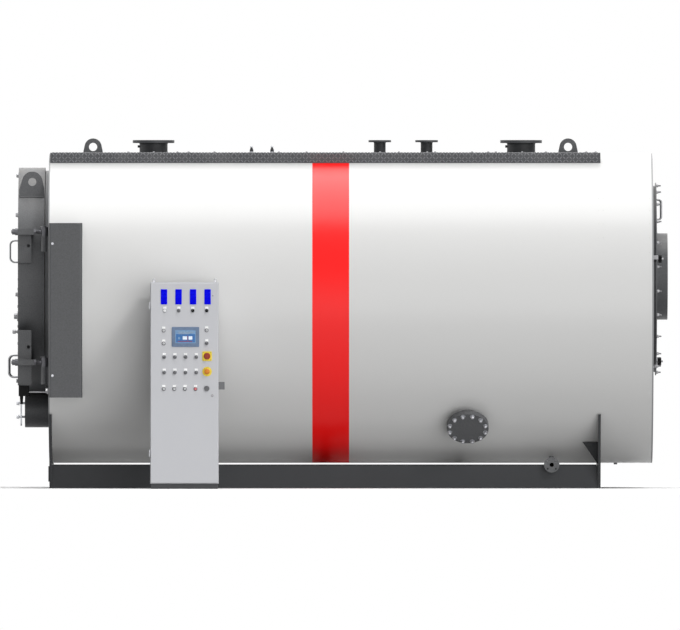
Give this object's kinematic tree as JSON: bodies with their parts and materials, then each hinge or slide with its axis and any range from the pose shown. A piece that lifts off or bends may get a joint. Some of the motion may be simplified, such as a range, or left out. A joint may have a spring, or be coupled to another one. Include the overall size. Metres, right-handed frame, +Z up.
{
  "type": "industrial fire-tube boiler",
  "caption": "Horizontal fire-tube boiler on a channel skid, with a hinged round front door, rear flue outlet, flanged top nozzles, tread-plate walkway and a control cabinet.",
  "frame": {"origin": "on the floor, under the boiler's axis, at the middle of the skid", "axes": "+X from the front door to the flue outlet, +Z up, the control cabinet stands at -Y"},
  "size_m": [6.392, 3.547, 3.3868],
  "materials": {
    "casing_white": "smooth satin coil coating",
    "band_red": "smooth satin coil coating",
    "plate_grey": "satin grey paint",
    "door_grey": "satin dark grey paint",
    "skid_grey": "satin dark grey paint",
    "steel": "plain steel",
    "zinc": "zinc plated",
    "firebox_steel": "bare boiler plate",
    "refractory": "rough castable refractory",
    "cabinet_grey": "fine textured powder coat",
    "plinth_grey": "powder coat",
    "box_grey": "moulded plastic",
    "gasket": "foam rubber",
    "black_plastic": "moulded plastic",
    "display_blue": "glossy display window",
    "lamp_lens": "clear lens",
    "stop_yellow": "moulded plastic"
  },
  "bodies": {
    "boiler": {"casing_front_course": "casing_white", "casing_rear_course": "casing_white", "smokebox_casing": "casing_white", "casing_band": "band_red", "front_end_plate": "plate_grey", "rear_end_plate": "plate_grey", "walkway_plate": "plate_grey", "hinge_posts": "door_grey", "hinge_cover": "door_grey", "front_ring": "door_grey", "manhole_neck": "door_grey", "rear_cover": "door_grey", "flue_spigot": "door_grey", "lifting_lugs": "door_grey", "water_nozzles": "door_grey", "safety_valve_nozzles": "door_grey", "handhole_nozzle": "door_grey", "handhole_cover": "door_grey", "drain_pipes": "door_grey", "skid_rails": "skid_grey", "cross_beams": "skid_grey", "saddle_plates": "skid_grey", "sensor_pockets": "steel", "cabinet_hinge_pins": "steel", "cabinet_mounting_plate": "zinc", "manhole_cover": "zinc", "rear_cover_fittings": "zinc", "front_tube_plate": "firebox_steel", "furnace_tube": "firebox_steel", "rear_tube_plate": "firebox_steel", "smoke_tubes": "firebox_steel", "cabinet_shell": "cabinet_grey", "cabinet_plinth": "plinth_grey", "cabinet_side_box": "box_grey"},
    "front_door": {"door_shell": "door_grey", "door_lining": "refractory", "burner_plate": "door_grey", "sight_glass": "steel", "door_lifting_lugs": "door_grey", "door_handles": "door_grey", "door_hinge_brackets": "door_grey", "hinge_eye_bolts": "steel", "door_limit_switch": "black_plastic"},
    "cabinet_door": {"cabinet_door_panel": "cabinet_grey", "cabinet_door_gasket": "gasket", "cabinet_door_hinges": "steel", "digital_displays": "display_blue", "touch_screen": "black_plastic", "pilot_lamps": "lamp_lens", "selector_switches": "black_plastic", "stop_switches": "stop_yellow"}
  },
  "joints": [
    {"name": "front_door_hinge", "type": "hinge", "parent": "boiler", "child": "front_door", "pos_m": [-2.709, -1.18, 1.85], "axis": [0, 0, 1], "range_deg": [0, 90]},
    {"name": "cabinet_door_hinge", "type": "hinge", "parent": "boiler", "child": "cabinet_door", "pos_m": [-1.69, -1.99, 1.02], "axis": [0, 0, -1], "range_deg": [0, 120]}
  ]
}
